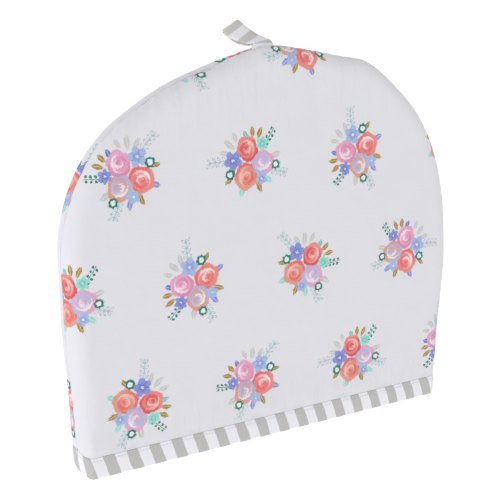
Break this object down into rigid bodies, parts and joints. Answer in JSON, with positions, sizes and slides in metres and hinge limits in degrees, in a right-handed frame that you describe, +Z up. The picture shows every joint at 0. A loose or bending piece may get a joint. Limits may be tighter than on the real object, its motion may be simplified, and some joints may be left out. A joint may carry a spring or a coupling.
{
  "type": "padded tea cosy with a bound hem and a hanging loop",
  "caption": "Dome-shaped padded cloth tea cosy, open underneath, with a striped hem binding and a tape loop at the top.",
  "frame": {"origin": "on the surface that the cosy stands on, under the middle of its overall box", "axes": "+Z up, +X to the right of someone who looks at the front panel, +Y from the front panel to the back panel"},
  "size_m": [0.341, 0.047, 0.3249],
  "materials": {
    "printed_cloth_front": "plain-weave cotton with a printed floral pattern, over wadding",
    "printed_cloth_back": "plain-weave cotton with a printed floral pattern, over wadding",
    "striped_binding": "grey and white striped cotton",
    "striped_tape": "grey and white striped cotton"
  },
  "bodies": {
    "root": {"front_panel": "printed_cloth_front", "back_panel": "printed_cloth_back", "hem_binding": "striped_binding", "hang_loop": "striped_tape"}
  },
  "joints": []
}
